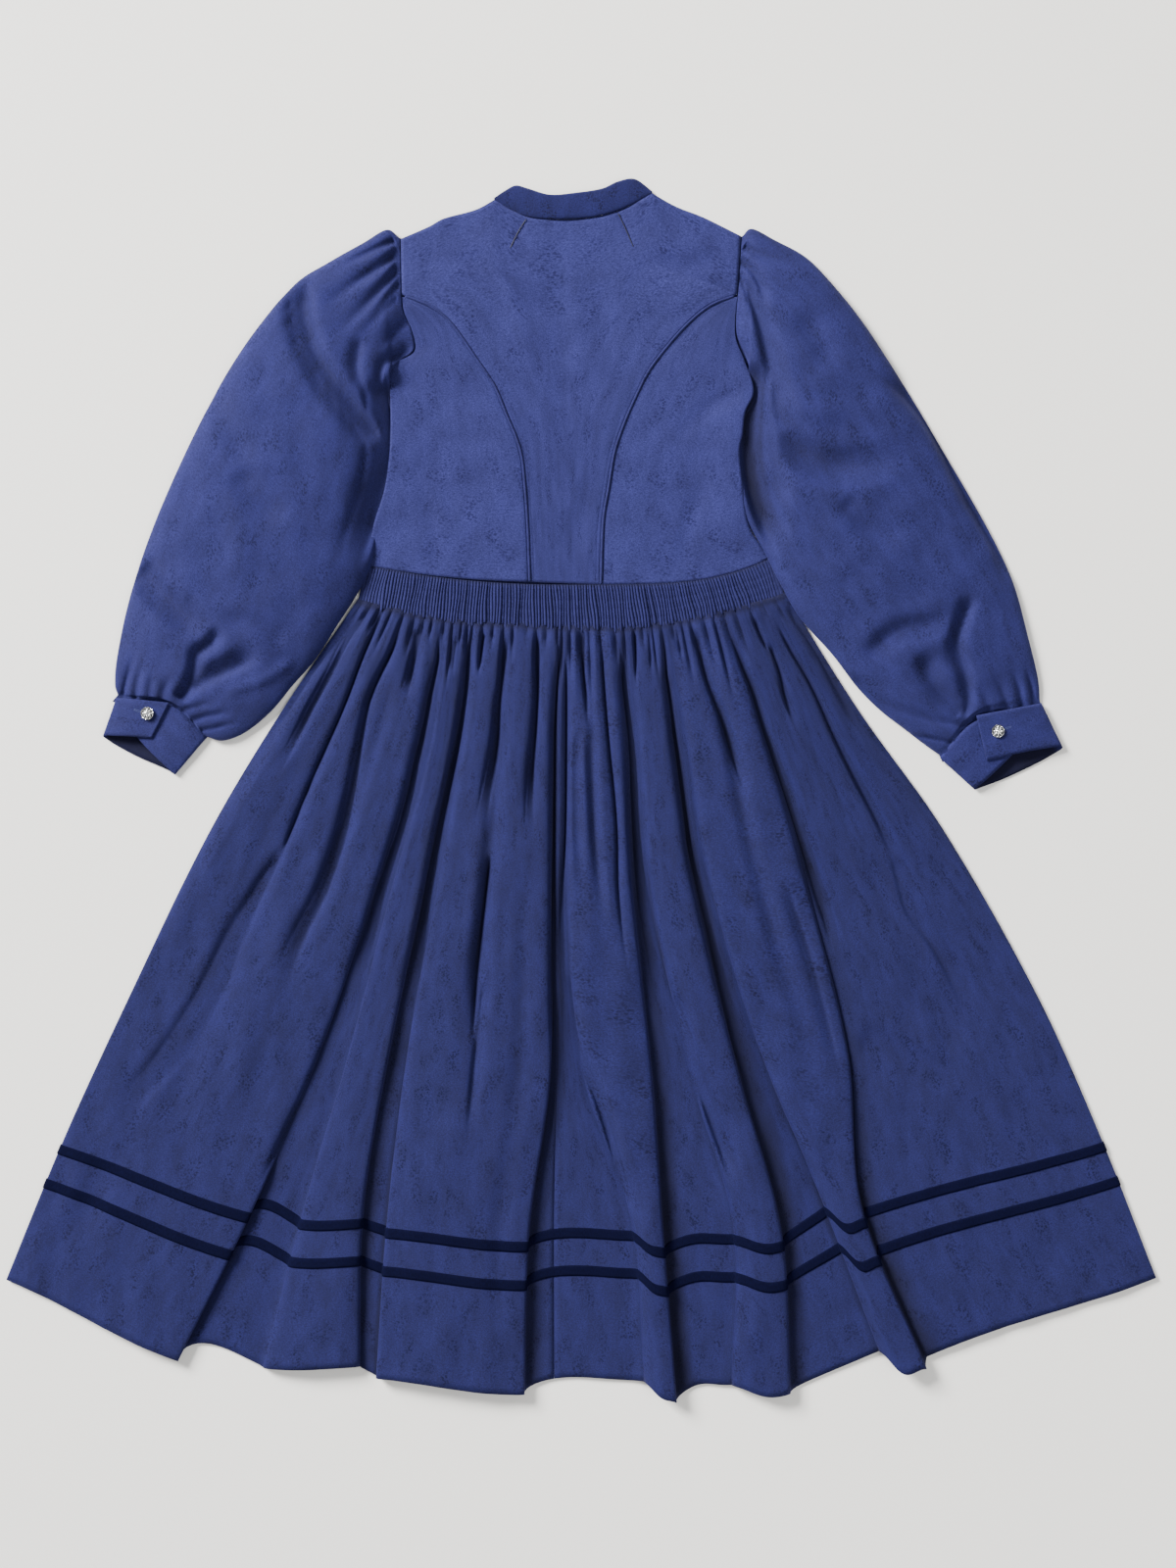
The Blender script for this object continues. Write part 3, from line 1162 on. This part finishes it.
creasesLeft = [
    # gathers out of the armhole
    crease([(-186, 368), (-213, 355), (-247, 338)], 5, 4.5, start=0.02, end=0.7),
    crease([(-180, 356), (-206, 336), (-239, 313), (-266, 290)], 7, 5, 8, start=0.02, end=0.7),
    crease([(-180, 341), (-197, 319), (-226, 287), (-256, 260)], 7, 5, 8, start=0.02, end=0.7),
    crease([(-180, 324), (-198, 300), (-220, 272)], 4.5, 4, 6, start=0.02, end=0.7),
    crease([(-184, 306), (-200, 290), (-228, 256)], 4, 6, start=0.02, end=0.7),
    crease([(-170, 284), (-188, 266), (-208, 244)], 3.5, 5, start=0.02, end=0.7),
    # the pocket under the arm
    crease([(-168, 256), (-182, 243), (-197, 236), (-202, 221), (-196, 204)], 6, 5, 8, end=0.15),
    # a long crease from the head of the sleeve to the inner elbow
    crease([(-283, 326), (-278, 276), (-262, 236), (-233, 197), (-205, 162), (-197, 138)], 15, 8,
           32, end=0.15),
    crease([(-222, 262), (-226, 226), (-208, 194)], 6, 6, 12),
    crease([(-350, 120), (-334, 92), (-300, 66)], 4, 22),
    crease([(-380, 210), (-362, 160), (-330, 120)], 3, 20),
    crease([(-460, 22), (-431, -15), (-399, -40), (-376, -54)], 9, 18, 24),
    crease([(-408, -12), (-390, -36), (-377, -50)], 5, 4, 8),
    crease([(-300, -60), (-340, -40), (-374, -36)], 3, 14),
    # placket and the hollow beside it
    crease([(-374, -44), (-383, -61), (-399, -73), (-402, -89), (-409, -110), (-419, -122)], 12,
           12, 3.5, end=0.05),
    crease([(-404, -112), (-377, -98), (-348, -85), (-326, -74)], 11, 20, 6, start=0.05),
    crease([(-290, -80), (-330, -104), (-410, -128)], -2.5, 9),
    # gathers into the cuff
    crease([(-478, -121), (-472, -98), (-464, -70)], 5, 3.2, start=0.02, end=0.6),
    crease([(-464, -122), (-460, -100), (-452, -78)], 5, 3.2, start=0.02, end=0.6),
    crease([(-449, -123), (-446, -104), (-442, -88)], 4.5, 3.2, start=0.02, end=0.6),
    crease([(-436, -124), (-430, -108), (-420, -96)], 5, 3, start=0.02, end=0.6),
    crease([(-415, -135), (-395, -130), (-372, -126)], 5, 3, start=0.02, end=0.6),
    crease([(-404, -146), (-384, -140), (-352, -136)], 5, 3.2, start=0.02, end=0.6),
    crease([(-394, -156), (-372, -152), (-350, -146)], 4, 3, start=0.02, end=0.6),
]
creasesRight = [
    crease([(187, 362), (203, 352), (232, 342)], 5, 4.5, start=0.02, end=0.7),
    crease([(183, 348), (196, 334), (206, 312), (212, 284)], 7, 4.5, 4, start=0.02, end=0.5),
    crease([(182, 334), (190, 312), (195, 284)], 6, 3.5, start=0.02, end=0.6),
    # a hollow beside the armhole, and the deep one below it
    crease([(186, 334), (197, 300), (206, 266), (214, 226), (224, 172), (234, 112)], 9,
           [9, 22, 30], [5, 8, 9], start=0.12, end=0.45),
    crease([(200, 206), (208, 180), (214, 140), (222, 92), (224, 62)], 9, 18, 9, start=0.1),
    crease([(216, 200), (252, 184), (300, 176)], -4, 16, start=0.4, end=0.5),
    crease([(214, 178), (246, 140), (296, 124), (352, 136)], 13, 26, 30, start=0.35, end=0.45),
    crease([(236, 300), (262, 266), (286, 226)], 3.5, 20, start=0.4),
    crease([(290, 90), (320, 60), (362, 44)], 4, 18),
    # a soft crease inside the outer edge
    crease([(330, 226), (380, 178), (425, 94), (457, 37), (471, -24)], 8, 18, 8),
    crease([(320, -92), (328, -66), (354, -47), (393, -40), (414, -30)], 7, 13, 24, start=0.3),
    # placket and its hollow
    crease([(432, -12), (421, -40), (415, -66), (424, -92), (428, -124), (424, -142)], 11, 4, 15,
           end=0.05),
    crease([(372, -70), (382, -94), (397, -116), (422, -136)], 9, 18, 12, start=0.25, end=0.05),
    crease([(300, -96), (340, -128), (392, -146), (416, -148)], 4, 8, 5, end=0.1),
    crease([(499, -130), (494, -108), (486, -84)], 5, 3.2, start=0.02, end=0.6),
    crease([(485, -132), (480, -108), (470, -86)], 5, 3.2, start=0.02, end=0.6),
    crease([(470, -135), (462, -112), (450, -92)], 5, 3.2, start=0.02, end=0.6),
    crease([(452, -138), (442, -118), (432, -102)], 4.5, 3.2, start=0.02, end=0.6),
    crease([(428, -152), (404, -148), (376, -150)], 4.5, 3.2, start=0.02, end=0.6),
    crease([(410, -170), (384, -164), (356, -160)], 4.5, 3.2, start=0.02, end=0.6),
]
# where each sleeve dives under the side of the bodice, and how far this lies in shade
pocketLeft = {
    "path": [(-196, 226), (-193, 190), (-193, 146), (-199, 102), (-211, 62), (-226, 14)],
    "depth": 12, "left": 9, "right": 42, "start": 0.1, "end": 0.25, "shade": 0.15, "dark": (9, 12),
}
pocketRight = {
    "path": [(194, 240), (191, 196), (189, 150), (195, 104), (208, 62), (222, 30)],
    "depth": 22, "left": 34, "right": 9, "start": 0.12, "end": 0.3, "shade": 0.9, "dark": (27, 9),
}
sleeve = {"wall": 1.1, "rings": 150, "top": 92, "base": 26, "edge": 2.6, "gather": 2.2}


def sleeveCloth(name, sections, armhole, wristBend, creases, pocket, tuck, innerLevel, intoCuff, seed):
    table = np.array(sections, float)
    last = len(table) - 1
    r = np.linspace(0, last, many(sleeve["rings"]))
    r = r - 0.35 * np.sin(2 * np.pi * r / last)  # closer rings at the armhole and the wrist
    ox, oy, ix, iy, rise = (throughLevels(range(last + 1), table[:, k], r) for k in range(5))
    ix = ix + tuck * ease(0.6, 2, r) * (1 - ease(8, 10, r))
    toHole = np.interp(r, [0, 1, 2], [1, 0.25, 0])[:, None]
    toWrist = np.interp(last - r, [0, 1, 2, 3], [1, 0.6, 0.2, 0])[:, None]
    top = np.linspace(0, 1, many(sleeve["top"]))
    base = np.linspace(1, 0, many(sleeve["base"]) + 2)[1:-1]
    s = np.concatenate([top, base])
    share = (1 - np.cos(np.pi * s)) / 2
    isTop = np.r_[np.ones(len(top)), np.zeros(len(base))][None, :]
    hole = armhole(1 - share)
    chord = mix(armhole(1)[0], armhole(0)[0], share[:, None])
    bow = hole - chord
    x = mix(ox[:, None], ix[:, None], share) + bow[None, :, 0] * toHole
    y = mix(oy[:, None], iy[:, None], share) + bow[None, :, 1] * toHole
    bent = bump(share, 0.5, 0.5)[None, :] * toWrist
    x, y = x + wristBend[0] * bent, y + wristBend[1] * bent
    rise = rise - 2.2 * ease(last - 0.5, last, r)
    arch = np.sin(np.pi * s)[None, :] ** 0.75
    # the inner edge goes under the side of the bodice, and on the right over the gauging
    tucked = (ease(1, 2, r) * (1 - ease(9, 11, r)))[:, None] * ease(0.7, 1, share)[None, :]
    level = mix(0.9, innerLevel, ease(6, 7.2, r))[:, None]
    edge = mix(sleeve["edge"], level, tucked)
    z = mix(edge, rise[:, None], arch)
    plan = np.stack([x, y], -1)
    puff = sleeve["gather"] * np.exp(-((r - 0.9) / 0.9) ** 2)[:, None] * np.sin(np.pi * share)[None, :]
    z = z + puff * (0.5 + 0.5 * np.sin(18 * share + 2.2 * np.sin(7 * share)))[None, :]
    waves = 0.9 * rippled(plan, 70, seed) + 0.5 * rippled(plan, 34, seed + 1)
    z = z + waves * np.sin(np.pi * s)[None, :] ** 0.5
    sunk = creased(plan, [*creases, pocket])
    z = np.maximum(z - sunk, np.minimum(z, edge + 0.4))
    # the lower layer lies on the floor, a little higher where it turns into the armhole and the cuff
    onFloor = ease(1.8, 3.4, r) * (1 - ease(last - 1.6, last - 0.4, r))
    z = z * isTop + mix(1.3, 0.35, onFloor)[:, None] * (1 - isTop)
    grid = np.stack([x, y, z], -1)
    grid = softened(grid, 0.9 * density, axis=1, ring=True)
    grid[..., 2] = np.maximum(grid[..., 2], 0.3)
    isLeft = table[0, 0] < 0
    seen = grid if isLeft else grid[:, ::-1]
    shade = 0.8 * hollows(seen, reachLeft=16, reachRight=8, start=4, full=13)
    shade = shade if isLeft else shade[:, ::-1]
    darkLeft, darkRight = pocket["dark"]
    dark = {**pocket, "left": darkLeft, "right": darkRight}
    inPocket = creased(plan, [dark]) / pocket["depth"]
    shade = np.maximum(shade, pocket["shade"] * inPocket)
    shade = np.maximum(shade, 0.38 * np.clip(creased(plan, creases) / 15, 0, 1) * isTop)
    # the first rings go in under the bodice and the last ones into the cuff
    inside = [grid[-1:] + (intoCuff[0] * step, intoCuff[1] * step, 0) for step in (1.5, 4, 9)]
    for k, ring in enumerate(inside):
        ring[..., 2] = np.minimum(ring[..., 2], (6.2, 4.6, 4.2)[k])
    under = [grid[:1] + (5 * step if isLeft else -5 * step, 0, 0) for step in (1, 0.15)]
    for k, ring in enumerate(under):
        ring[..., 2] = np.minimum(ring[..., 2], (1.3, 2.2)[k])
    grid = np.concatenate([*under, grid, *inside])
    shade = np.pad(shade, ((2, 3), (0, 0)), mode="edge")
    shade[:2] = 0.55
    lengths = np.linalg.norm(np.roll(grid, -1, axis=1) - grid, axis=2).mean(0)
    u = np.r_[0, np.cumsum(lengths)]
    down = np.linalg.norm(np.diff(np.stack([(ox + ix) / 2, (oy + iy) / 2], -1), axis=0), axis=1)
    v = np.r_[0, np.cumsum(down)]
    v = np.r_[-5, -1, v, v[-1] + 1.5, v[-1] + 4, v[-1] + 9]
    clothMesh(
        name, grid, sleeve["wall"], sleeveMaterial, laidOut(u[None, :], v[:, None]) + seed * 111,
        ring=True, offset=-1.0, up=isLeft, hollow=shade,
    )


sleeveCloth(
    "sleeve_left", sleeveLeft, beside(smoothLine(armholeLeft), -0.1), wristBend=(10, 17),
    creases=creasesLeft, pocket=pocketLeft, tuck=7, innerLevel=0.9, intoCuff=(-0.65, -0.76), seed=31,
)
sleeveCloth(
    "sleeve_right", sleeveRight, beside(smoothLine(armholeRight), 0.1), wristBend=(-14, 15),
    creases=creasesRight, pocket=pocketRight, tuck=-6, innerLevel=5.2, intoCuff=(0.41, -0.91), seed=47,
)
print("sleeves")

# ---- cuffs: seam edge, free edge and height of each station along the band
cuffLeft = [
    (-446, -126, -470, -154, 7.4), (-424, -130.3, -452, -174, 7.4), (-405.5, -144.3, -436, -190, 7.2),
    (-388.5, -164, -422, -203, 4), (-403.5, -151, -430, -198, 0.7), (-436, -133, -464, -183, 0.7),
    (-472, -123, -491, -168, 0.7), (-484, -121.5, -498, -162, 5), (-467, -122.5, -481, -162, 9.6),
    (-427, -126.5, -446, -164, 9.8),
]
cuffRight = [
    (460, -138, 478, -178, 7.4), (433, -147, 462, -194, 7.4), (414.5, -163, 446, -209, 7.2),
    (397, -185.5, 434, -219, 4), (412.5, -172, 444, -216, 0.7), (446, -150, 472, -205, 0.7),
    (488, -132, 514, -184, 0.7), (505, -127, 528, -174, 5), (483, -131, 499, -177, 9.6),
    (435, -140, 446, -188, 9.8),
]
cuff = {"wall": 1.4, "steps": 150, "across": 14}


def cuffBand(name, stations, seed):
    table = np.array(stations, float)
    line = smoothLine(np.c_[table[:, :2], table[:, 4], table[:, 2:4], table[:, 4]])
    ends = line(np.linspace(0, 1, many(cuff["steps"])))
    t = np.linspace(0, 1, cuff["across"])[None, :, None]
    grid = mix(ends[:, None, :3], ends[:, None, 3:], t)
    grid[..., 2] = np.maximum(grid[..., 2], cuff["wall"] / 2)
    grid[..., 2] += 0.25 * rippled(grid[..., :2], 30, seed) * ease(2, 6, grid[..., 2])
    # edges roll in a little
    grid[:, [0, -1], 2] -= 0.25 * ease(2, 6, grid[:, [0, -1], 2])
    inside = 1 - ease(1.5, 3.5, grid[..., 2])
    flatCut = cutAlong(grid) + 50 * seed
    clothMesh(name, grid, cuff["wall"], sleeveMaterial, flatCut, hollow=inside)


cuffBand("cuff_left", cuffLeft, 3)
cuffBand("cuff_right", cuffRight, 6)

# ---- buttons
button = {"radius": 7.0, "rise": 3.6, "seat": 10.9, "sides": 112, "petals": 8, "beads": 28}
profile = [
    # share of the radius, share of the rise, how deep the petals cut here
    (0.28, 0, 0), (0.28, 0.22, 0), (0.88, 0.3, 0), (0.97, 0.38, 0), (1, 0.5, 0), (0.98, 0.62, 0),
    (0.93, 0.7, 0.02), (0.87, 0.7, 0.05), (0.81, 0.56, 0.06), (0.76, 0.6, 0.16), (0.68, 0.8, 0.32),
    (0.58, 0.9, 0.4), (0.47, 0.93, 0.34), (0.38, 0.84, 0.14), (0.32, 0.8, 0.03), (0.27, 0.84, 0),
    (0.2, 0.96, 0), (0.1, 1.0, 0), (0.0, 1.0, 0),
]


def buttonPiece(node, x, y):
    turn = np.linspace(0, 2 * np.pi, button["sides"], endpoint=False)
    lobe = 0.5 + 0.5 * np.cos(button["petals"] * turn)
    beads = np.cos(button["beads"] * turn)
    rings, sunk = [], []
    for radius, height, petal in profile:
        bead = 0.02 * (radius > 0.85) * beads
        size = button["radius"] * (radius + (bead - 0.02 if radius > 0.9 else bead))
        deep = height - petal * (1 - lobe)
        beaded = 0.05 * (radius > 0.75) * beads * (height > 0.55)
        z = button["seat"] + button["rise"] * (deep + beaded)
        sunk.append(np.clip((0.86 - deep) / 0.4, 0, 1))
        rings.append(np.stack([x + size * np.cos(turn), y + size * np.sin(turn), z], -1))
    mesh = ringMesh(node + "_struck", np.array(rings), capped=False)
    setValues(mesh, "hollow", sunk)
    makePiece(node + "_struck", mesh, silver, node)


buttonPiece("button_left", -450, -138)
buttonPiece("button_right", 458, -157)


def buttonhole(name, a, b, z):
    # a slit bound with close stitches
    a, b = np.array(a, float), np.array(b, float)
    onward = (b - a) / np.linalg.norm(b - a)
    aside = np.array([-onward[1], onward[0]])
    turn = np.linspace(0, 2 * np.pi, 90)
    half = np.linalg.norm(b - a) / 2
    middle = (a + b) / 2
    path = middle + np.clip(np.cos(turn) * 1.25, -1, 1)[:, None] * half * onward
    path = path + np.sin(turn)[:, None] * 0.75 * aside
    stitched = np.full(len(path), z) + 0.12 * np.cos(np.arange(len(path)) * 2.1)
    tube(name, placed(path, stitched), 0.5, threadDark, sides=6)


buttonhole("buttonhole_left", (-456, -136.5), (-464, -134), 10.6)
buttonhole("buttonhole_right", (464, -155), (472, -152), 10.6)
print("cuffs, buttons and buttonholes")

bpy.context.view_layer.update()
print("sizes written")
